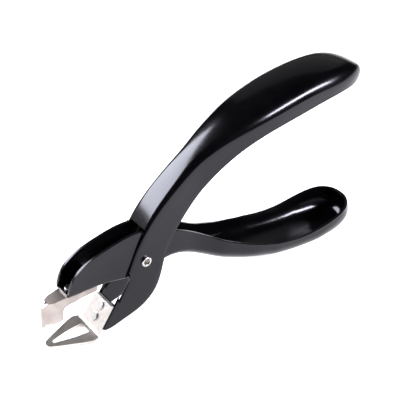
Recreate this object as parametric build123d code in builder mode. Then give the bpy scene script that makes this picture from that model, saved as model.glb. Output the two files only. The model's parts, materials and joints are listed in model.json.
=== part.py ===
"""Plier-type staple remover: two crossing pressed-steel levers, two riveted steel blades, a pivot rivet and a spring.

Millimetres, +Z up, +X towards the handle ends, Y along the pivot axis. The tool stands open, on the flat loop of its
lower blade and the belly of its lower handle. The origin is the middle of its footprint. Outlines are written as
(x, z) or (x, y) from the pivot.
"""

import os
from math import cos, radians, sin

from build123d import *

# ---- driving dimensions ---------------------------------------------------------------------------------------
PIVOT_X = -38.55            # pivot, from the middle of the tool's length
PIVOT_Z = 30.0              # pivot above the table
SPAN = 40.0                 # more than any width, for cuts that go right through

SHEET = 1.2                 # lever steel
BEND = 2.4                  # outside radius of the levers' bends
LONG_HALF_WIDTH = 6.7       # long lever's channel, outside, at the pivot
SHORT_HALF_WIDTH = 5.1      # short lever's channel runs inside it
GRIP_HALF_WIDTH = 13.7      # both handles swell into a wide rounded grip
GRIP_MID_HALF_WIDTH = 9.5
LONG_END = 122.4            # grip ends, from the pivot
SHORT_END = 124.6

PLATE = 1.5                 # lifting blade's steel
PLATE_SLOPE = radians(56.8)
PLATE_TOP = (-17.4, -17.1)  # upper edge of the lifting blade's outer face
LOOP_TOP = PLATE - PIVOT_Z  # the loop lies flat on the table
LOOP_BEND = 2.0             # inside radius between plate and loop
BEAK_SHEET = 1.0            # beak blade's steel
JAW_WEB = -4.6              # underside of the upper jaw
JAW_TIP = (-37.1, JAW_WEB)
LOOP_TIP = -46.2            # tip of the loop

RIVET_R = 2.0               # pivot rivet's shank
RIVET_CLEARANCE = 0.05      # the short lever turns on it
BLADE_RIVET_R = 1.2
BLADE_HEAD_R = 2.05
BLADE_HEAD_H = 0.8
HEAD_ROUND = 0.25           # blade rivets' heads are flat buttons with a soft rim

TAIL_R = 1.5
TAIL_H = 0.5
GRIP_PLAY = 0.2             # the lower jaw's web is slightly bowed between its plate and the tails
RING_R = 2.4                # rolled end of the pivot rivet, a ring round its bore
RING_H = 1.1
RING_BORE_R = 1.4
RING_BORE_DEPTH = 3.5
RING_ROUND = 0.4
PIVOT_HEAD_R = 3.4
PIVOT_HEAD_H = 1.2
PIVOT_HEAD_ROUND = 0.9

SPRING_WIRE_R = 0.5
SPRING_R = 2.9              # mean radius of the coil round the shank
SPRING_PITCH = 1.1
UPPER_LEG_ANGLE = 62.0      # directions of the two legs
LOWER_LEG_ANGLE = 0.0
UPPER_LEG = 23.0
LOWER_LEG = 16.0

os.makedirs("parts", exist_ok=True)

# ---- planes and helpers ---------------------------------------------------------------------------------------
SIDE = Plane(origin=(PIVOT_X, 0, PIVOT_Z), x_dir=(1, 0, 0), z_dir=(0, -1, 0))   # sketch x, z; extrudes along -Y
PLAN = Plane(origin=(PIVOT_X, 0, PIVOT_Z), x_dir=(1, 0, 0), z_dir=(0, 0, 1))    # sketch x, y; extrudes along +Z
THROUGH = SIDE.offset(-SPAN / 2)                                                # far side, for cuts right through


def finish(piece, name):
    """Labels a finished piece and writes it under its node's name."""
    piece.part.label = name
    export_step(piece.part, f"parts/{name}.step")


def on_middle(x, z):
    """A point of the tool's middle plane."""
    return SIDE.from_local_coords(Vector(x, z, 0))


def face_at(piece, x, z):
    """The face that lies nearest a point of the tool's middle plane."""
    return piece.faces().sort_by_distance(on_middle(x, z))[0]


def lever_plan(half_width, neck_x, full_x, end_x, inset=0.0):
    """Plan of a lever: a straight channel that swells into the grip and closes in a round nose."""
    nose_x = full_x + 0.25 * (end_x - full_x)
    channel = half_width - inset
    grip = GRIP_HALF_WIDTH - inset
    with BuildSketch(PLAN) as plan:
        with BuildLine():
            neck = Line((-SPAN, channel), (neck_x, channel))
            middle = (neck_x + 17, GRIP_MID_HALF_WIDTH - inset)
            swell = Spline(neck @ 1, middle, (full_x, grip), tangents=[(1, 0), (1, 0)])
            Line(swell @ 1, (nose_x, grip))
            EllipticalCenterArc((nose_x, 0), end_x - inset - nose_x, grip, start_angle=90, arc_size=-90)
            mirror(about=Plane.XZ)
            Line((-SPAN, channel), (-SPAN, -channel))
        make_face()
    return plan.sketch


def cut_through(half_width, *outline):
    """Removes an outline in side view from the middle of a piece, out to a half width."""
    with BuildSketch(SIDE.offset(-half_width)) as cut:
        with BuildLine():
            Polyline(*outline, close=True)
        make_face()
    extrude(cut.sketch, amount=2 * half_width, mode=Mode.SUBTRACT)


def drill(plane, radius):
    """Drills right through a piece along a plane's normal."""
    with BuildSketch(plane) as hole:
        Circle(radius)
    extrude(hole.sketch, amount=SPAN / 2, both=True, mode=Mode.SUBTRACT)


# ---- where the blades are riveted -----------------------------------------------------------------------------
down_plate = Vector(-cos(PLATE_SLOPE), 0, -sin(PLATE_SLOPE))
off_plate = Vector(-sin(PLATE_SLOPE), 0, cos(PLATE_SLOPE))
LIFTING_RIVETS = [
    Plane(origin=on_middle(*PLATE_TOP) + down_plate * along, x_dir=(0, 1, 0), z_dir=off_plate) for along in (3.0, 8.6)
]
BEAK_RIVETS = [Plane(origin=on_middle(x, JAW_WEB + SHEET), x_dir=(1, 0, 0), z_dir=(0, 0, 1)) for x in (-33.8, -26.2)]

# ---- long lever: upper handle and lower jaw -------------------------------------------------------------------
LONG_WEB = [(-22.6, -27.9), (-16.1, -17.9), (-8.4, -4.0), (0.2, 15.2), (14.2, 31.3), (35.5, 47.6), (54, 56.7),
            (75, 62.3), (96, 64.3), (110, 62.9), (118, 60.3), (124, 57.0), (129, 53.6)]
LONG_RIM = [(129, 50.8), (117, 52.8), (103.3, 53.8), (78.5, 50.5), (51.1, 43), (34.1, 31.1), (22.1, 18.4), (9.9, -2)]
LONG_BELLY = [(9.9, -2), (8, -10), (4.9, -17.5), (-1.7, -23.4), (-12.7, -27), (-18.5, -28.4), (-22.6, -27.9)]

with BuildPart() as long_lever:
    with BuildSketch(THROUGH):
        with BuildLine():
            web = Spline(*LONG_WEB)
            rim = Spline(*LONG_RIM)
            Spline(*LONG_BELLY)
            Line(web @ 1, rim @ 0)
        make_face()
    extrude(amount=SPAN)
    extrude(lever_plan(LONG_HALF_WIDTH, 24, 76, LONG_END), amount=3 * SPAN, both=True, mode=Mode.INTERSECT)
    fillet([edge for edge in face_at(long_lever, 35.5, 47.6).edges() if abs(edge.center().Y) > 1], BEND)
    offset(amount=-SHEET, openings=[face_at(long_lever, 51.1, 43), face_at(long_lever, -1.7, -23.4)])
    # the window that the short lever passes through, wider below, where the flanges lose their bends
    cut_through(LONG_HALF_WIDTH - SHEET, (-3, 16.6), (4, 13.6), (-9, -20), (-12.7, -19.4), (-19.5, -15))
    cut_through(SPAN, (-8.5, -5.9), (-13.8, -16.6), (-20, -14), (-13, -3.7))
    drill(SIDE, RIVET_R)
    for seat in LIFTING_RIVETS:
        drill(seat, BLADE_RIVET_R)
finish(long_lever, "long_lever")

# ---- short lever: lower handle and upper jaw ------------------------------------------------------------------
BELLY_STATIONS = 24         # points that set the inner face's curve, one sheet inside the outer face
SHORT_BELLY = [(-21.5, JAW_WEB), (-8, -7.0), (2, -7.6), (12, -5.0), (24.5, -8.6), (40.7, -17.2), (57.7, -23.6),
               (76.6, -27.7), (97.9, -29.8), (107, -29.8), (116, -28.6), (122, -26.6), (132, -22.0)]
SHORT_RIM = [(132, -13.2), (120, -14.7), (110, -16.6), (100, -18.3), (90, -19.3), (71.5, -17.1), (49.4, -9.8), (34.5, -2.1), (24, 4.4), (9, 11.2),
             (-0.5, 14.5), (-8, 14.6), (-18.6, 12.5), (-28, 9.3), (-33.5, 5.2), (-36.3, -0.4)]


def short_blank(web, plan, bend):
    """A solid bounded below by a web curve in side view and at the sides by a plan, with a rounded lower edge."""
    with BuildPart() as blank:
        with BuildSketch(THROUGH):
            with BuildLine():
                jaw = Line((-SPAN, web[0][1]), web[0])
                belly = Spline(*web, tangents=[(1, 0), (1, 0.5)])
                Polyline(belly @ 1, (web[-1][0], SPAN), (-SPAN, SPAN), jaw @ 0)
            make_face()
        extrude(amount=SPAN)
        extrude(plan, amount=3 * SPAN, both=True, mode=Mode.INTERSECT)
        edges = face_at(blank, -30, web[0][1]).edges() + face_at(blank, 57.7, -23.6).edges()
        fillet([edge for edge in edges if abs(edge.center().Y) > 1 and edge.center().X > PIVOT_X - SPAN + 1], bend)
    return blank.part


belly = Spline(*SHORT_BELLY, tangents=[(1, 0), (1, 0.5)])
stations = [k / BELLY_STATIONS for k in range(BELLY_STATIONS + 1)]
inner_belly = [belly @ t + (belly % t).rotate(Axis.Z, 90) * SHEET for t in stations]
outer_blank = short_blank(SHORT_BELLY, lever_plan(SHORT_HALF_WIDTH, 28, 78, SHORT_END), BEND)
inner_blank = short_blank([(point.X, point.Y) for point in inner_belly],
                          lever_plan(SHORT_HALF_WIDTH, 28, 78, SHORT_END, SHEET), BEND - SHEET)

with BuildPart() as short_lever:
    add(outer_blank)
    with BuildSketch(THROUGH):
        with BuildLine():
            rim = Spline(*SHORT_RIM)
            Polyline(rim @ 1, JAW_TIP, (JAW_TIP[0], -SPAN), (SHORT_RIM[0][0], -SPAN), rim @ 0)
        make_face()
    extrude(amount=SPAN, mode=Mode.INTERSECT)
    add(inner_blank, mode=Mode.SUBTRACT)
    # no web where the long lever passes through
    cut_through(SHORT_HALF_WIDTH - SHEET, (-21.5, -2), (-21.5, -10), (12, -10), (12, -2))
    drill(SIDE, RIVET_R + RIVET_CLEARANCE)
    for seat in BEAK_RIVETS:
        drill(seat, BLADE_RIVET_R)
finish(short_lever, "short_lever")

# ---- blades ---------------------------------------------------------------------------------------------------
foot_x = PLATE_TOP[0] - (PLATE_TOP[1] - LOOP_TOP) * cos(PLATE_SLOPE) / sin(PLATE_SLOPE)     # plate meets loop, above
heel_x = foot_x + PLATE * (1 - cos(PLATE_SLOPE)) / sin(PLATE_SLOPE)                         # and below
under_top = (PLATE_TOP[0] + PLATE * sin(PLATE_SLOPE), PLATE_TOP[1] - PLATE * cos(PLATE_SLOPE))

with BuildPart() as lifting_blade:
    with BuildSketch(THROUGH) as section:
        with BuildLine():
            Polyline(PLATE_TOP, (foot_x, LOOP_TOP), (LOOP_TIP, LOOP_TOP), (LOOP_TIP, -PIVOT_Z), (heel_x, -PIVOT_Z),
                     under_top, close=True)
        make_face()
    extrude(amount=SPAN)
    inner_bend = lifting_blade.edges().filter_by(Axis.Y).sort_by_distance(on_middle(foot_x, LOOP_TOP))[0]
    fillet(inner_bend, LOOP_BEND)
    outer_bend = lifting_blade.edges().filter_by(Axis.Y).sort_by_distance(on_middle(heel_x, -PIVOT_Z))[0]
    fillet(outer_bend, LOOP_BEND + PLATE)
    with BuildSketch(PLAN) as plan:
        with BuildLine():
            flank = Polyline((-14, 6.0), (-23.4, 6.4), (-24.8, 7.2), (-25.6, 8.7), (-27.4, 9.3))
            arm = Spline(flank @ 1, (-34.2, 7.0), (-44.4, 2.5), tangents=[(-1, -0.15), (-1, -0.5)])
            mirror(about=Plane.XZ)
            Line((-14, 6.0), (-14, -6.0))
            ThreePointArc(arm @ 1, (LOOP_TIP, 0), (-44.4, -2.5))
        make_face()
    extrude(plan.sketch, amount=SPAN, both=True, mode=Mode.INTERSECT)
    with BuildSketch(PLAN) as eye:
        with BuildLine():
            Polyline((-27.0, 3.2), (-33.0, 2.9), (-42.2, 1.0))
            mirror(about=Plane.XZ)
            Line((-27.0, 3.2), (-27.0, -3.2))
            ThreePointArc((-42.2, 1.0), (-43.1, 0), (-42.2, -1.0))
        make_face()
    extrude(eye.sketch, amount=-SPAN, mode=Mode.SUBTRACT)
    for seat in LIFTING_RIVETS:
        drill(seat, BLADE_RIVET_R)
finish(lifting_blade, "lifting_blade")

with BuildPart() as beak_blade:
    with BuildSketch(THROUGH):
        with BuildLine():
            Polyline((-22.9, JAW_WEB), (-37.3, JAW_WEB), (-44.6, -5.6), (-47.2, -7.3), (-47.5, -18.0), (-46.7, -18.0),
                     (-46.2, -16.7), (-42.5, -16.5), (-39.3, -15.8), (-38.8, -11.0), (-38.0, -9.4), (-35.4, -8.4),
                     (-30, -7.3), (-22.9, -6.9), close=True)
        make_face()
    extrude(amount=SPAN)
    with BuildSketch(PLAN) as plan:
        with BuildLine():
            Polyline((-20, 4.3), (-33.5, 4.3), (-38.5, 3.4), (-42.5, 3.0), (-46.9, 0.9), (-47.6, 0.5))
            mirror(about=Plane.XZ)
            Line((-20, 4.3), (-20, -4.3))
            Line((-47.6, 0.5), (-47.6, -0.5))
        make_face()
    extrude(plan.sketch, amount=SPAN, both=True, mode=Mode.INTERSECT)
    with BuildSketch(PLAN.offset(JAW_WEB - BEAK_SHEET)) as hollow:
        with BuildLine():
            Polyline((-46.3, 0), (-42.3, 2.0), (-38.5, 2.4), (-33.5, 3.3), (-20, 3.3), (-20, -3.3), (-33.5, -3.3),
                     (-38.5, -2.4), (-42.3, -2.0), (-46.3, 0))
        make_face()
    extrude(hollow.sketch, amount=-SPAN, mode=Mode.SUBTRACT)
    for seat in BEAK_RIVETS:
        drill(seat, BLADE_RIVET_R)
finish(beak_blade, "beak_blade")


# ---- fasteners and spring -------------------------------------------------------------------------------------
def blade_rivet(seat, grip, name):
    """A small rivet: a flat button head on the seat and an upset tail on the other side of the grip."""
    with BuildPart() as rivet:
        with BuildSketch(seat):
            Circle(BLADE_HEAD_R)
        extrude(amount=BLADE_HEAD_H)
        crown = seat.origin + seat.z_dir * BLADE_HEAD_H
        fillet(rivet.faces().sort_by_distance(crown)[0].edges(), HEAD_ROUND)
        with BuildSketch(seat):
            Circle(BLADE_RIVET_R)
        extrude(amount=-grip)
        with BuildSketch(seat.offset(-grip)):
            Circle(TAIL_R)
        extrude(amount=-TAIL_H)
    finish(rivet, name)


for seat, where in zip(LIFTING_RIVETS, ("upper", "lower")):
    blade_rivet(seat, PLATE + SHEET + GRIP_PLAY, f"lifting_blade_rivet_{where}")
for seat, where in zip(BEAK_RIVETS, ("front", "rear")):
    blade_rivet(seat, BEAK_SHEET + SHEET, f"beak_blade_rivet_{where}")

with BuildPart() as pivot_rivet:
    with BuildSketch(SIDE.offset(LONG_HALF_WIDTH)):
        Circle(RING_R)
    extrude(amount=RING_H)
    fillet(pivot_rivet.faces().sort_by(Axis.Y)[0].edges(), RING_ROUND)
    with BuildSketch(SIDE.offset(-LONG_HALF_WIDTH)):
        Circle(RIVET_R)
    extrude(amount=2 * LONG_HALF_WIDTH)
    with BuildSketch(SIDE.offset(-LONG_HALF_WIDTH)):
        Circle(PIVOT_HEAD_R)
    extrude(amount=-PIVOT_HEAD_H)
    fillet(pivot_rivet.faces().sort_by(Axis.Y)[-1].edges(), PIVOT_HEAD_ROUND)
    with BuildSketch(SIDE.offset(LONG_HALF_WIDTH + RING_H)):
        Circle(RING_BORE_R)
    extrude(amount=-RING_BORE_DEPTH, mode=Mode.SUBTRACT)
    fillet(pivot_rivet.edges().filter_by(GeomType.CIRCLE).sort_by_distance(
        SIDE.offset(LONG_HALF_WIDTH + RING_H).origin)[0], RING_ROUND)
finish(pivot_rivet, "pivot_rivet")

coil_turns = 4 + (180 + LOWER_LEG_ANGLE - UPPER_LEG_ANGLE) / 360
coil_width = SPRING_PITCH * coil_turns
first_turn = radians(UPPER_LEG_ANGLE + 90)      # where the upper leg leaves the coil
coil_plane = Plane(origin=(PIVOT_X, coil_width / 2, PIVOT_Z), x_dir=(cos(first_turn), 0, sin(first_turn)),
                   z_dir=(0, -1, 0))
coil = coil_plane * Helix(SPRING_PITCH, coil_width, SPRING_R)
upper_leg = coil_plane * Line((SPRING_R, -UPPER_LEG, 0), (SPRING_R, 0, 0))
lower_way = Vector(cos(radians(LOWER_LEG_ANGLE)), 0, sin(radians(LOWER_LEG_ANGLE)))
lower_leg = Line(coil @ 1, coil @ 1 + lower_way * LOWER_LEG)
wire = Wire(upper_leg.edges() + coil.edges() + lower_leg.edges())
with BuildPart() as return_spring:
    with BuildSketch(Plane(origin=wire @ 0, z_dir=wire % 0)) as wire_end:
        Circle(SPRING_WIRE_R)
    sweep(wire_end.sketch, path=wire, is_frenet=True, transition=Transition.TRANSFORMED)
finish(return_spring, "return_spring")
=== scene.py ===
"""Looks of a plier-type staple remover: enamelled steel levers, bright blades, rivets and a return spring."""

from __future__ import annotations

import json
import logging
import math
from dataclasses import dataclass
from enum import Enum
from typing import Sequence

import bmesh
import bpy
import numpy as np
from mathutils import Matrix, Vector

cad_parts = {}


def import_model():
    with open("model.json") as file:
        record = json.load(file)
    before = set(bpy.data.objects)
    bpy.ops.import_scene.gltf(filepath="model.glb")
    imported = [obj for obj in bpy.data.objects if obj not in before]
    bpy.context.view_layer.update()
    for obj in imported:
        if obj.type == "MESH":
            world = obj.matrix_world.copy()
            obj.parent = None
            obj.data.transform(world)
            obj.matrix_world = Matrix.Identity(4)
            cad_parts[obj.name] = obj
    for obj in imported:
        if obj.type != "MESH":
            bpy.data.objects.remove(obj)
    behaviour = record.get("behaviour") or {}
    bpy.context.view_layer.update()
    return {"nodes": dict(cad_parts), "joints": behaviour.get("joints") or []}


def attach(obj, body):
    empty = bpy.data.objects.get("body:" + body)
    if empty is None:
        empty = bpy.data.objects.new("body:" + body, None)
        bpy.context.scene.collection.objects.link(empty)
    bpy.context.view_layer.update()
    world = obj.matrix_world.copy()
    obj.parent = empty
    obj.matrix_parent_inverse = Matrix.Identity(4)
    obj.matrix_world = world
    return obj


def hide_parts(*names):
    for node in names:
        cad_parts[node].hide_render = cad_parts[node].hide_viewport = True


log = logging.getLogger("staple_remover")

MM = 0.001

# Millimetres, for laying out a lever's outer face and joining its vertices
STATION_STEP = 0.08
SLOPE_REACH = 0.05
WALK_LIMIT = 2.0
LEAST_BEND = 0.05
LEAST_FLAT = 0.5
LEAST_WEB = 0.001
JOIN_WITHIN = 0.004
COLLAPSE_WITHIN = 0.003

# Shares that keep bends and crowns inside a shallow flange
BEND_OF_DEPTH = 0.75
BEND_OF_WIDTH = 0.8
CROWN_OF_DEPTH = 0.5

# Counts, for laying out a lever's outer face
RIM_SAMPLES = 1600
EDGE_GUARD = 3
WINDOW_BEND_RINGS = 3

# Edge rounding, shading, drilling and joining CAD faces: degrees and millimetres
ROUND_SEGMENTS = 3
LEVER_ROUND_ABOVE = 50.0
LEVER_CREASE = 40.0
FITTED_CREASE = 35.0
CAD_FLAT_WITHIN = 0.5
CAD_JOIN_WITHIN = 0.002
FACE_WEIGHT = 100
DRILL_SIDES = 64
DRILL_LENGTH = 60.0

# A noise stretched the same way in every direction
EVEN = Vector((1, 1, 1))

Point = tuple[float, float]


class Slot(Enum):
    """The finishes that the record names."""

    ENAMEL = "black_enamel"
    BLADE = "bright_steel"
    NICKEL = "nickel"
    SPRING = "spring_steel"


class Body(Enum):
    """The two halves that turn about the pivot."""

    UPPER = "upper_handle"
    LOWER = "lower_handle"


# ---- finishes -------------------------------------------------------------------------------------------------
def link_noise(tree: bpy.types.NodeTree, scale: float, detail: float, stretch: Vector) -> bpy.types.NodeSocket:
    """Adds a noise pattern that stays on the piece.

    Args:
        tree: the material's node tree.
        scale: noise scale on Object coordinates, per metre.
        detail: number of finer layers.
        stretch: scale along each axis, which makes grain when uneven.

    Returns:
        The noise node's factor socket.
    """
    coords = tree.nodes.new("ShaderNodeTexCoord")
    mapping = tree.nodes.new("ShaderNodeMapping")
    mapping.inputs["Scale"].default_value = stretch
    noise = tree.nodes.new("ShaderNodeTexNoise")
    noise.inputs["Scale"].default_value = scale
    noise.inputs["Detail"].default_value = detail
    tree.links.new(coords.outputs["Object"], mapping.inputs["Vector"])
    tree.links.new(mapping.outputs["Vector"], noise.inputs["Vector"])
    return noise.outputs["Fac"]


def link_range(
    tree: bpy.types.NodeTree, value: bpy.types.NodeSocket, source: Point, target: Point
) -> bpy.types.NodeSocket:
    """Maps a pattern from one range to another, clamped.

    Args:
        tree: the material's node tree.
        value: the pattern.
        source: lowest and highest value read.
        target: the values they become.

    Returns:
        The mapped socket.
    """
    node = tree.nodes.new("ShaderNodeMapRange")
    node.inputs["From Min"].default_value, node.inputs["From Max"].default_value = source
    node.inputs["To Min"].default_value, node.inputs["To Max"].default_value = target
    tree.links.new(value, node.inputs["Value"])
    return node.outputs["Result"]


def link_bump(tree: bpy.types.NodeTree, height: bpy.types.NodeSocket, depth: float) -> None:
    """Bumps the material's shader by a pattern, to a depth in metres."""
    bump = tree.nodes.new("ShaderNodeBump")
    bump.inputs["Strength"].default_value = 1.0
    bump.inputs["Distance"].default_value = depth
    tree.links.new(height, bump.inputs["Height"])
    tree.links.new(bump.outputs["Normal"], tree.nodes["Principled BSDF"].inputs["Normal"])


def link_tint(
    tree: bpy.types.NodeTree, value: bpy.types.NodeSocket, dark: Sequence[float], light: Sequence[float]
) -> None:
    """Colours the shader between two tones by a pattern."""
    mix = tree.nodes.new("ShaderNodeMix")
    mix.data_type = "RGBA"
    mix.inputs["A"].default_value = (*dark, 1.0)
    mix.inputs["B"].default_value = (*light, 1.0)
    tree.links.new(value, mix.inputs["Factor"])
    tree.links.new(mix.outputs["Result"], tree.nodes["Principled BSDF"].inputs["Base Color"])


@dataclass(frozen=True)
class Enamel:
    """Stoved gloss enamel: nearly black, with faint orange peel and a few duller patches."""

    colour: tuple[float, float, float] = (0.0022, 0.0021, 0.0030)
    worn: tuple[float, float, float] = (0.0045, 0.0043, 0.0055)
    gloss: tuple[float, float] = (0.16, 0.24)
    peel: float = 0.0000035
    peel_scale: float = 900.0
    patch_scale: float = 60.0
    coat: float = 0.15
    coat_roughness: float = 0.10
    ior: float = 1.46
    reflection_tint: tuple[float, float, float] = (0.90, 0.89, 1.0)

    def make(self) -> bpy.types.Material:
        """Builds the material."""
        material = bpy.data.materials.new("gloss_black_enamel")
        material.use_nodes = True
        tree = material.node_tree
        shader = tree.nodes["Principled BSDF"]
        shader.inputs["Coat Weight"].default_value = self.coat
        shader.inputs["Coat Roughness"].default_value = self.coat_roughness
        shader.inputs["IOR"].default_value = self.ior
        shader.inputs["Specular Tint"].default_value = (*self.reflection_tint, 1.0)
        patches = link_noise(tree, self.patch_scale, 3.0, EVEN)
        tree.links.new(link_range(tree, patches, (0.35, 0.7), self.gloss), shader.inputs["Roughness"])
        link_tint(tree, link_range(tree, patches, (0.4, 0.75), (0, 1)), self.colour, self.worn)
        link_bump(tree, link_noise(tree, self.peel_scale, 1.0, EVEN), self.peel)
        return material


@dataclass(frozen=True)
class Steel:
    """Bare or plated steel with a grain that runs along one axis."""

    name: str
    dark: tuple[float, float, float]
    light: tuple[float, float, float]
    rough: tuple[float, float]
    grain: tuple[float, float, float]
    grain_scale: float
    grain_depth: float
    smudge_scale: float = 180.0

    def make(self) -> bpy.types.Material:
        """Builds the material, or takes the one that is there already."""
        if self.name in bpy.data.materials:
            return bpy.data.materials[self.name]
        material = bpy.data.materials.new(self.name)
        material.use_nodes = True
        tree = material.node_tree
        shader = tree.nodes["Principled BSDF"]
        shader.inputs["Metallic"].default_value = 1.0
        grain = link_noise(tree, self.grain_scale, 4.0, Vector(self.grain))
        smudge = link_noise(tree, self.smudge_scale, 2.0, EVEN)
        link_tint(tree, link_range(tree, smudge, (0.35, 0.65), (0, 1)), self.dark, self.light)
        tree.links.new(link_range(tree, grain, (0.3, 0.7), self.rough), shader.inputs["Roughness"])
        link_bump(tree, grain, self.grain_depth)
        return material


BLADE_STEEL = Steel(
    "ground_blade_steel", (0.68, 0.64, 0.61), (0.80, 0.76, 0.73), (0.30, 0.44), (0.25, 1.0, 1.0), 1400.0,
    0.000004,
)
# The beak is the same bright steel as the lifting blade. Its colours are painted much darker, as painted shade
# on the beak.
BEAK_STEEL_PAINTED_SHADE = Steel(
    "folded_beak_steel_painted_shade", (0.40, 0.355, 0.33), (0.50, 0.445, 0.42), (0.30, 0.44), (1.0, 1.0, 0.25), 1400.0,
    0.000004,
)
RIVET_STEEL = Steel("headed_rivet_steel", (0.74, 0.72, 0.70), (0.84, 0.82, 0.81), (0.28, 0.38), (1.0, 1.0, 1.0),
                    900.0, 0.000003)
NICKEL_PLATE = Steel(
    "nickel_plate", (0.62, 0.60, 0.58), (0.76, 0.74, 0.72), (0.24, 0.36), (1.0, 1.0, 1.0), 700.0, 0.000003,
)
SPRING_WIRE = Steel("drawn_spring_wire", (0.20, 0.20, 0.21), (0.34, 0.34, 0.35), (0.24, 0.36), (1.0, 0.3, 1.0),
                    1500.0, 0.000003)


# ---- mesh work ------------------------------------------------------------------------------------------------
def deselect_all() -> None:
    """Leaves object mode with nothing selected."""
    if bpy.context.object and bpy.context.object.mode != "OBJECT":
        bpy.ops.object.mode_set(mode="OBJECT")
    bpy.ops.object.select_all(action="DESELECT")


def make_active(piece: bpy.types.Object) -> None:
    """Selects one object alone and makes it the active one."""
    deselect_all()
    piece.select_set(True)
    bpy.context.view_layer.objects.active = piece


def apply_modifier(piece: bpy.types.Object, kind: str, **values: object) -> None:
    """Adds a modifier, sets it and applies it.

    Args:
        piece: the object to change.
        kind: the modifier's type.
        values: its settings by name.
    """
    make_active(piece)
    modifier = piece.modifiers.new(kind.title(), kind)
    for name, value in values.items():
        setattr(modifier, name, value)
    bpy.ops.object.modifier_apply(modifier=modifier.name)


def smooth(piece: bpy.types.Object, angle: float) -> None:
    """Shades a piece smooth, with creases above an angle in degrees."""
    make_active(piece)
    bpy.ops.object.shade_smooth_by_angle(angle=math.radians(angle))


def merged_copy(node: bpy.types.Object, name: str) -> bpy.types.Object:
    """Copies a CAD node's mesh into a new object and joins its loose triangles."""
    copy = bpy.data.objects.new(name, node.data.copy())
    bpy.context.scene.collection.objects.link(copy)
    copy.data.materials.clear()
    make_active(copy)
    bpy.ops.object.mode_set(mode="EDIT")
    bpy.ops.mesh.select_all(action="SELECT")
    bpy.ops.mesh.remove_doubles(threshold=CAD_JOIN_WITHIN * MM)
    bpy.ops.mesh.customdata_custom_splitnormals_clear()
    bpy.ops.mesh.dissolve_limited(angle_limit=math.radians(CAD_FLAT_WITHIN))
    bpy.ops.object.mode_set(mode="OBJECT")
    return copy


class SideCurve:
    """A smooth curve through points of the tool's middle plane, walked by its chord lengths."""

    def __init__(self, points: Sequence[Point]) -> None:
        """Solves the cubic through the points."""
        self.knots = np.array(points, float)
        chords = np.linalg.norm(np.diff(self.knots, axis=0), axis=1)
        self.marks = np.concatenate([[0.0], np.cumsum(chords)])
        size = len(self.knots)
        system = np.eye(size)
        right = np.zeros((size, 2))
        for i in range(1, size - 1):
            before, after = chords[i - 1], chords[i]
            system[i, i - 1 : i + 2] = before, 2 * (before + after), after
            slopes = (self.knots[i + 1] - self.knots[i]) / after - (self.knots[i] - self.knots[i - 1]) / before
            right[i] = 6 * slopes
        self.bends = np.linalg.solve(system, right)

    @property
    def length(self) -> float:
        """The curve's whole length, by its chords."""
        return float(self.marks[-1])

    def points(self, at: np.ndarray) -> np.ndarray:
        """Points of the curve.

        Args:
            at: lengths along it.

        Returns:
            One row of x and z for each length.
        """
        i = np.clip(np.searchsorted(self.marks, at, side="right") - 1, 0, len(self.marks) - 2)
        width = self.marks[i + 1] - self.marks[i]
        a = ((self.marks[i + 1] - at) / width)[:, None]
        b = 1 - a
        curve = (a**3 - a) * self.bends[i] + (b**3 - b) * self.bends[i + 1]
        return a * self.knots[i] + b * self.knots[i + 1] + curve * (width[:, None] ** 2) / 6


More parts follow.
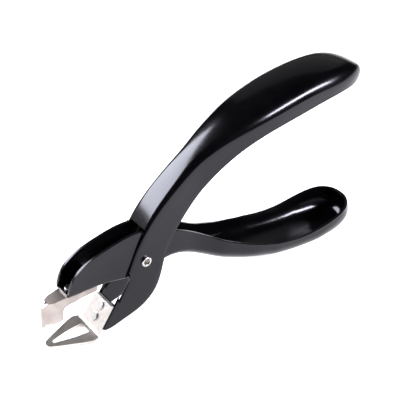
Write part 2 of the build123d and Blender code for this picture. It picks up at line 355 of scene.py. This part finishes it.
@dataclass
class PressedLever:
    """One lever pressed from sheet steel: a web with two flanges that meet round the grip's nose.

    Outlines are in millimetres from the pivot, (x, z). Widths and radii are pairs of x and value.
    """

    name: str
    body: Body
    web: Sequence[Point]
    rim: Sequence[Point]
    widths: Sequence[Point]
    bends: Sequence[Point]
    crowns: Sequence[Point]
    nose_from: float
    nose_end: float
    open_side: float
    window: tuple[float, float]
    bare_edges: tuple[float, float]
    pivot_hole: float
    least_depth: float = 1.6
    sheet: float = 1.2
    step: float = 0.9
    flange_rings: int = 7
    bend_rings: int = 9
    web_rings: int = 8
    nose_columns: int = 44
    edge_round: float = 0.22
    nose_fullness: float = 2.4

    def width(self, x: np.ndarray) -> np.ndarray:
        """Outside half width of the lever at x."""
        return self.table(self.widths, x)

    @staticmethod
    def table(pairs: Sequence[Point], x: np.ndarray) -> np.ndarray:
        """Reads a value at x from pairs, smoothly between them."""
        at = np.array([pair[0] for pair in pairs], float)
        value = np.array([pair[1] for pair in pairs], float)
        slope = np.gradient(value, at)
        flat = np.concatenate([[True], np.diff(value) == 0]) | np.concatenate([np.diff(value) == 0, [True]])
        slope[flat] = 0.0
        x = np.clip(x, at[0], at[-1])
        i = np.clip(np.searchsorted(at, x, side="right") - 1, 0, len(at) - 2)
        span = at[i + 1] - at[i]
        t = (x - at[i]) / span
        return (
            value[i] * (2 * t**3 - 3 * t**2 + 1)
            + slope[i] * span * (t**3 - 2 * t**2 + t)
            + value[i + 1] * (3 * t**2 - 2 * t**3)
            + slope[i + 1] * span * (t**3 - t**2)
        )

    def depth(self, base: np.ndarray, inward: np.ndarray) -> np.ndarray:
        """How far the flanges reach from the web, along its normal.

        Args:
            base: points of the web.
            inward: the web's normals there, towards the open side.

        Returns:
            The distance to the rim for each point.
        """
        rim_curve = SideCurve(self.rim)
        rim = rim_curve.points(np.linspace(0, rim_curve.length, RIM_SAMPLES))
        start, run = rim[:-1], np.diff(rim, axis=0)
        found = np.zeros(len(base))
        for k, (point, way) in enumerate(zip(base, inward)):
            cross = way[0] * run[:, 1] - way[1] * run[:, 0]
            gap = start - point
            along = (gap[:, 0] * run[:, 1] - gap[:, 1] * run[:, 0]) / cross
            place = (gap[:, 0] * way[1] - gap[:, 1] * way[0]) / cross
            hits = along[(place >= 0) & (place <= 1) & (along > 0)]
            found[k] = hits.min() if len(hits) else 0.0
        return found

    def stations(self) -> tuple[np.ndarray, np.ndarray, np.ndarray, np.ndarray]:
        """Places cross sections along the lever, closer where the rim runs steeply.

        Returns:
            Lengths along the web, the web's points and inward normals there, and the flanges' depths.
        """
        curve = SideCurve(self.web)
        fine = np.arange(0, curve.length, STATION_STEP)
        base = curve.points(fine)
        after = curve.points(np.clip(fine + SLOPE_REACH, 0, curve.length))
        ahead = after - curve.points(np.clip(fine - SLOPE_REACH, 0, None))
        ahead /= np.linalg.norm(ahead, axis=1)[:, None]
        inward = self.open_side * np.stack([-ahead[:, 1], ahead[:, 0]], axis=1)
        keep = base[:, 0] <= self.nose_end
        fine, base, inward = fine[keep], base[keep], inward[keep]
        depth = self.depth(base, inward)
        first = int(np.argmax(depth > self.least_depth))
        return fine[first:], base[first:], inward[first:], depth[first:]

    def outline(self) -> list[list[tuple[float, float, float]]]:
        """Lays out the outer face as columns that run from the rim to the middle of the web.

        Returns:
            Columns of x, y and z, from the near side of the jaw round the nose to its far side.
        """
        fine, base, inward, depth = self.stations()
        rim = base + inward * depth[:, None]
        steps = np.maximum(
            np.linalg.norm(np.diff(base, axis=0), axis=1), np.linalg.norm(np.diff(rim, axis=0), axis=1)
        )
        walked = np.concatenate([[0.0], np.cumsum(np.minimum(steps, WALK_LIMIT))])
        nose_start = int(np.searchsorted(base[:, 0], self.nose_from))
        count = int(walked[nose_start] / self.step)
        picks = np.searchsorted(walked, np.linspace(0, walked[nose_start], count))
        edges = np.searchsorted(base[:, 0], [x for x in (*self.window, *self.bare_edges) if x > base[0, 0]])
        picks = np.concatenate([picks[[bool(np.min(np.abs(edges - i)) > EDGE_GUARD) for i in picks]], edges])
        places = [(fine[i], None) for i in np.unique(picks)]
        reach = fine[-1] - fine[nose_start]
        for k in range(1, self.nose_columns + 1):
            places.append((fine[nose_start], math.pi / 2 * (1 - k / self.nose_columns)))
        near = []
        grip = float(self.width(np.array([self.nose_from]))[0])
        round_off = 2 / self.nose_fullness
        for at, angle in places:
            radial = angle is not None
            out = (math.cos(angle) ** round_off, math.sin(angle) ** round_off) if radial else (0.0, 1.0)
            spread = (reach * out[0], grip * out[1]) if radial else (0.0, 1.0)
            near.append(self.column(fine, base, inward, depth, at, spread, radial))
        far = [[(x, -y, z) for x, y, z in column] for column in reversed(near[:-1])]
        return near + far

    def column(
        self,
        fine: np.ndarray,
        base: np.ndarray,
        inward: np.ndarray,
        depth: np.ndarray,
        at: float,
        spread: Point,
        radial: bool,
    ) -> list[tuple[float, float, float]]:
        """Lays out one column of the outer face, from the rim over the bend to the middle of the web."""

        def read(table: np.ndarray, place: float) -> np.ndarray | float:
            """Value of a table of the stations at a length along the web."""
            if table.ndim == 1:
                return float(np.interp(place, fine, table))
            return np.array([np.interp(place, fine, table[:, 0]), np.interp(place, fine, table[:, 1])])

        edge_at = at + spread[0]
        edge_x = float(read(base, edge_at)[0])
        deep = float(read(depth, edge_at))
        reach = math.hypot(*spread) if radial else float(self.width(np.array([edge_x]))[0])
        wanted_bend = float(self.table(self.bends, np.array([edge_x]))[0])
        bend = max(min(wanted_bend, BEND_OF_DEPTH * deep, BEND_OF_WIDTH * reach), LEAST_BEND)
        wanted_crown = float(self.table(self.crowns, np.array([edge_x]))[0])
        crown = max(min(wanted_crown, CROWN_OF_DEPTH * (deep - bend)), 0.0)
        lean = math.atan(2 * crown / max(reach - bend, LEAST_FLAT))
        last = math.pi / 2 - lean
        rings: list[tuple[float, float]] = []
        foot = crown + bend * math.sin(last)
        for k in range(self.flange_rings):
            rings.append((0.0, deep + (foot - deep) * k / self.flange_rings))
        for k in range(self.bend_rings):
            turn = last * k / (self.bend_rings - 1)
            rings.append((bend * (1 - math.cos(turn)), crown + bend * (math.sin(last) - math.sin(turn))))
        landed = rings[-1][0]
        for k in range(1, self.web_rings + 1):
            part = k / self.web_rings
            rings.append((landed + (reach - landed) * part, crown * (1 - part) ** 2))
        column = []
        for inset, height in rings:
            if radial:
                scale = 1 - inset / reach
                place, y = at + spread[0] * scale, spread[1] * scale
                point = read(base, place) + read(inward, place) * height
            else:
                point = read(base, at) + read(inward, at) * height
                half = float(self.width(np.array([point[0]]))[0])
                flat = (half - landed) * (reach - inset) / max(reach - landed, LEAST_WEB)
                y = half - inset if inset < landed else flat
            column.append((float(point[0]), float(y), float(point[1])))
        return column

    def build(self, pivot: Vector, material: bpy.types.Material) -> bpy.types.Object:
        """Makes the lever's mesh and dresses it.

        Args:
            pivot: the pivot's place.
            material: the enamel.

        Returns:
            The finished lever.
        """
        columns = self.outline()
        rings = len(columns[0])
        deselect_all()
        bpy.ops.mesh.primitive_grid_add(
            x_subdivisions=len(columns) - 1, y_subdivisions=rings - 1, size=1.0, location=(0, 0, 0)
        )
        lever = bpy.context.object
        lever.name = self.name
        mesh = bmesh.new()
        mesh.from_mesh(lever.data)
        order = sorted(mesh.verts, key=lambda vert: (round(vert.co.x, 5), round(vert.co.y, 5)))
        place_of = {}
        for index, vert in enumerate(order):
            column, ring = divmod(index, rings)
            x, y, z = columns[column][ring]
            place_of[vert] = (x, z, ring)
            vert.co = pivot + Vector((x, y, z)) * MM
        self.cut_window(mesh, place_of)
        bmesh.ops.remove_doubles(mesh, verts=mesh.verts, dist=JOIN_WITHIN * MM)
        bmesh.ops.dissolve_degenerate(mesh, edges=mesh.edges, dist=COLLAPSE_WITHIN * MM)
        mesh.faces.ensure_lookup_table()
        bmesh.ops.recalc_face_normals(mesh, faces=mesh.faces)
        mid = max(mesh.faces, key=lambda face: face.calc_center_median().x - abs(face.calc_center_median().y))
        if mid.normal.x < 0:
            bmesh.ops.reverse_faces(mesh, faces=mesh.faces)
        mesh.to_mesh(lever.data)
        mesh.free()
        apply_modifier(lever, "SOLIDIFY", thickness=self.sheet * MM, offset=-1.0, use_even_offset=True)
        apply_modifier(
            lever, "BEVEL", width=self.edge_round * MM, segments=ROUND_SEGMENTS, limit_method="ANGLE",
            angle_limit=math.radians(LEVER_ROUND_ABOVE), use_clamp_overlap=True, loop_slide=False,
        )
        self.drill_pivot(lever, pivot)
        smooth(lever, LEVER_CREASE)
        lever.data.materials.append(material)
        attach(lever, self.body.value)
        return lever

    def cut_window(
        self, mesh: bmesh.types.BMesh, place_of: dict[bmesh.types.BMVert, tuple[float, float, int]]
    ) -> None:
        """Deletes the web, and a stretch of the bends, where the other lever passes through.

        Args:
            mesh: the outer face.
            place_of: x and z in millimetres from the pivot, and the ring, of each vertex.
        """
        first_web = self.flange_rings + self.bend_rings - WINDOW_BEND_RINGS
        first_bend = self.flange_rings
        doomed = []
        for face in mesh.faces:
            xs = sum(place_of[vert][0] for vert in face.verts) / len(face.verts)
            ring = min(place_of[vert][2] for vert in face.verts)
            if ring >= first_web and self.window[0] < xs < self.window[1]:
                doomed.append(face)
            elif ring >= first_bend and self.bare_edges[0] < xs < self.bare_edges[1]:
                doomed.append(face)
        bmesh.ops.delete(mesh, geom=doomed, context="FACES")

    def drill_pivot(self, lever: bpy.types.Object, pivot: Vector) -> None:
        """Drills both flanges for the pivot rivet."""
        deselect_all()
        bpy.ops.mesh.primitive_cylinder_add(
            vertices=DRILL_SIDES, radius=self.pivot_hole * MM, depth=DRILL_LENGTH * MM, location=pivot,
            rotation=(math.pi / 2, 0, 0),
        )
        drill = bpy.context.object
        bpy.ops.object.transform_apply(location=True, rotation=True, scale=True)
        apply_modifier(lever, "BOOLEAN", object=drill, operation="DIFFERENCE", solver="EXACT")
        bpy.data.objects.remove(drill)


LONG_LEVER = PressedLever(
    name="long_lever_enamelled",
    body=Body.UPPER,
    web=[(-22.6, -27.9), (-16.1, -17.9), (-8.4, -4.0), (0.2, 15.2), (14.2, 31.3), (35.5, 47.6), (54, 56.7),
         (75, 62.3), (96, 64.3), (109, 62.8), (116, 60.2), (121, 57.2), (127, 52.0)],
    rim=[(133, 50.0), (129, 50.8), (117, 52.8), (103.3, 53.8), (78.5, 50.5), (51.1, 43), (34.1, 31.1),
         (22.1, 18.4), (9.9, -2), (8, -10), (4.9, -17.5), (-1.7, -23.4), (-12.7, -27), (-18.5, -28.4),
         (-22.7, -28.1)],
    widths=[(-30, 6.7), (20, 6.7), (27.7, 7.0), (34, 8.2), (41.5, 9.8), (51, 11.8), (63, 13.2),
            (78.5, 13.7), (95, 13.7), (103, 13.7)],
    bends=[(-30, 1.6), (5, 2.0), (20, 3.0), (35, 4.2), (45, 5.6), (65, 7.6), (110, 7.6), (127, 5.0)],
    crowns=[(-30, 0.0), (5, 0.05), (35, 0.5), (65, 1.1), (110, 1.1), (127, 0.6)],
    nose_from=89.0,
    nose_end=122.2,
    nose_fullness=2.2,
    open_side=-1.0,
    window=(-16.0, 0.2),
    bare_edges=(-13.8, -8.0),
    pivot_hole=2.02,
)

SHORT_LEVER = PressedLever(
    name="short_lever_enamelled",
    body=Body.LOWER,
    web=[(-37.1, -4.6), (-29.5, -4.6), (-21.5, -4.7), (-8, -7.0), (2, -7.6), (12, -5.4), (24.5, -8.6),
         (40.7, -17.2), (57.7, -23.6), (76.6, -27.7), (97.9, -29.8), (107, -29.8), (116, -28.9),
         (122, -27.4), (132, -22.6)],
    rim=[(136, -12.8), (132, -13.2), (120, -14.7), (110, -16.6), (100, -18.3), (90, -19.3), (71.5, -17.1),
         (49.4, -9.8), (34.5, -2.1), (24, 4.4), (9, 11.2), (-0.5, 14.5), (-8, 14.6), (-18.6, 12.5),
         (-28, 9.3), (-33.5, 5.2), (-36.3, -0.4), (-37.2, -4.8)],
    widths=[(-60, 5.1), (24, 5.1), (28, 5.3), (34.5, 6.55), (41, 8.7), (49.4, 10.35), (59.4, 12.35),
            (65, 13.0), (72, 13.7), (94, 13.7), (102, 13.7)],
    bends=[(-40, 1.7), (12, 2.0), (22, 3.0), (35, 4.2), (45, 5.6), (65, 7.6), (98, 8.0), (112, 10.5),
           (130, 10.5)],
    crowns=[(-40, 0.0), (12, 0.05), (35, 0.5), (65, 1.1), (112, 1.1), (130, 0.6)],
    nose_from=95.0,
    nose_end=126.6,
    nose_fullness=2.5,
    open_side=1.0,
    window=(-21.5, 12.0),
    bare_edges=(0.0, 0.0),
    pivot_hole=2.06,
)


@dataclass(frozen=True)
class FittedPiece:
    """A blade, rivet or spring that keeps its CAD shape and gets rounded edges and its finish."""

    node: str
    body: Body
    slot: Slot
    edge: float
    finish: Steel

    def build(self, node: bpy.types.Object) -> bpy.types.Object:
        """Copies the CAD node, rounds its edges and dresses it.

        Args:
            node: the CAD node.

        Returns:
            The finished piece, which stands for the node.
        """
        piece = merged_copy(node, f"{self.node}_finished")
        if self.edge > 0:
            apply_modifier(
                piece, "BEVEL", width=self.edge * MM, segments=ROUND_SEGMENTS, limit_method="ANGLE",
                angle_limit=math.radians(FITTED_CREASE), use_clamp_overlap=True,
            )
        smooth(piece, FITTED_CREASE)
        apply_modifier(piece, "WEIGHTED_NORMAL", keep_sharp=True, weight=FACE_WEIGHT)
        piece.data.materials.append(self.finish.make())
        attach(piece, self.body.value)
        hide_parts(self.node)
        return piece


FITTED = [
    FittedPiece("lifting_blade", Body.UPPER, Slot.BLADE, 0.15, BLADE_STEEL),
    FittedPiece("lifting_blade_rivet_upper", Body.UPPER, Slot.NICKEL, 0.0, RIVET_STEEL),
    FittedPiece("lifting_blade_rivet_lower", Body.UPPER, Slot.NICKEL, 0.0, RIVET_STEEL),
    FittedPiece("pivot_rivet", Body.UPPER, Slot.NICKEL, 0.0, NICKEL_PLATE),
    FittedPiece("return_spring", Body.UPPER, Slot.SPRING, 0.0, SPRING_WIRE),
    # Beak blade: bright steel painted darker, as painted shade
    FittedPiece("beak_blade", Body.LOWER, Slot.BLADE, 0.12, BEAK_STEEL_PAINTED_SHADE),
    FittedPiece("beak_blade_rivet_front", Body.LOWER, Slot.NICKEL, 0.0, RIVET_STEEL),
    FittedPiece("beak_blade_rivet_rear", Body.LOWER, Slot.NICKEL, 0.0, RIVET_STEEL),
]


# ---- stage ----------------------------------------------------------------------------------------------------
@dataclass(frozen=True)
class SoftLight:
    """A rectangular studio light that looks at the tool."""

    name: str
    place: tuple[float, float, float]
    size: tuple[float, float]
    power: float
    colour: tuple[float, float, float]

    def make(self, target: Vector) -> None:
        """Adds the light and turns it towards the target."""
        data = bpy.data.lights.new(self.name, "AREA")
        data.shape = "RECTANGLE"
        data.size, data.size_y = self.size
        data.energy = self.power
        data.color = self.colour
        light = bpy.data.objects.new(self.name, data)
        light.location = self.place
        light.rotation_euler = (target - Vector(self.place)).to_track_quat("-Z", "Y").to_euler()
        bpy.context.scene.collection.objects.link(light)


@dataclass(frozen=True)
class Studio:
    """Pale floor, soft lights and the camera."""

    camera_place: tuple[float, float, float] = (-0.23315, -0.2901, 0.3006)
    camera_right: tuple[float, float, float] = (0.7991, -0.6004, 0.0307)
    camera_up: tuple[float, float, float] = (0.3225, 0.4712, 0.8210)
    field_of_view: float = 22.0
    floor_glow: float = 0.70
    floor_size: float = 6.0
    floor_tones: tuple[float, float] = (0.93, 0.95)
    room_light: float = 0.012
    backdrop: float = 1.0
    contrast: float = 0.9
    sensor: float = 36.0
    aim: tuple[float, float, float] = (0.0, 0.0, 0.045)
    lights: tuple[SoftLight, ...] = (
        SoftLight("left_back", (-0.47, 0.64, 0.57), (0.62, 0.50), 14.0, (0.93, 0.95, 1.0)),
        SoftLight("left_back_low", (-0.85, 0.72, 0.25), (0.50, 0.26), 0.34, (1.0, 0.98, 0.97)),
        SoftLight("right_front", (0.40, -0.68, 0.50), (0.50, 0.16), 9.0, (0.96, 0.96, 1.0)),
        SoftLight("right_back_panel", (0.62, 0.80, 0.60), (0.9, 0.8), 0.48, (1.0, 0.96, 0.94)),
    )

    def build(self) -> None:
        """Adds the floor, the lights, the world and the camera."""
        deselect_all()
        bpy.ops.mesh.primitive_plane_add(size=self.floor_size, location=(0, 0, 0))
        floor = bpy.context.object
        floor.name = "floor"
        material = bpy.data.materials.new("pale_floor")
        material.use_nodes = True
        tree = material.node_tree
        shader = tree.nodes["Principled BSDF"]
        shader.inputs["Roughness"].default_value = 0.9
        shader.inputs["Specular IOR Level"].default_value = 0.1
        dark, light = self.floor_tones
        link_tint(tree, link_noise(tree, 30.0, 2.0, EVEN), (dark, dark, dark), (light, light, light))
        shader.inputs["Emission Color"].default_value = (1.0, 1.0, 1.0, 1.0)
        shader.inputs["Emission Strength"].default_value = self.floor_glow
        floor.data.materials.append(material)
        target = Vector(self.aim)
        for light in self.lights:
            light.make(target)
        world = bpy.data.worlds.new("studio")
        world.use_nodes = True
        world.node_tree.nodes["Background"].inputs["Color"].default_value = (0.97, 0.975, 1.0, 1.0)
        backdrop = world.node_tree.nodes["Background"].inputs["Strength"]
        path = world.node_tree.nodes.new("ShaderNodeLightPath")
        seen = link_range(
            world.node_tree, path.outputs["Is Camera Ray"], (0.0, 1.0), (self.room_light, self.backdrop)
        )
        world.node_tree.links.new(seen, backdrop)
        bpy.context.scene.world = world
        bpy.context.scene.view_settings.view_transform = "Standard"
        bpy.context.scene.view_settings.gamma = self.contrast
        self.add_camera()

    def add_camera(self) -> None:
        """Adds the camera and makes it the scene's own."""
        data = bpy.data.cameras.new("camera")
        data.sensor_width = self.sensor
        data.lens = self.sensor / 2 / math.tan(math.radians(self.field_of_view) / 2)
        camera = bpy.data.objects.new("camera", data)
        right, up = Vector(self.camera_right).normalized(), Vector(self.camera_up).normalized()
        turn = Matrix((right, up, right.cross(up))).transposed().to_4x4()
        camera.matrix_world = Matrix.Translation(Vector(self.camera_place)) @ turn
        bpy.context.scene.collection.objects.link(camera)
        bpy.context.scene.camera = camera


def main() -> None:
    logging.basicConfig(level=logging.INFO, format="%(name)s: %(message)s")
    for default in ("Cube", "Light", "Camera"):
        if default in bpy.data.objects:
            bpy.data.objects.remove(bpy.data.objects[default])
    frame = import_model()
    pivot = Vector(frame["joints"][0]["pos_m"])
    enamel = Enamel().make()
    for lever, node in ((LONG_LEVER, "long_lever"), (SHORT_LEVER, "short_lever")):
        piece = lever.build(pivot, enamel)
        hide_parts(node)
        log.info("%s: %d faces", piece.name, len(piece.data.polygons))
    for fitted in FITTED:
        piece = fitted.build(frame["nodes"][fitted.node])
        log.info("%s: %d faces", piece.name, len(piece.data.polygons))
    Studio().build()


if __name__ == "__main__":
    main()
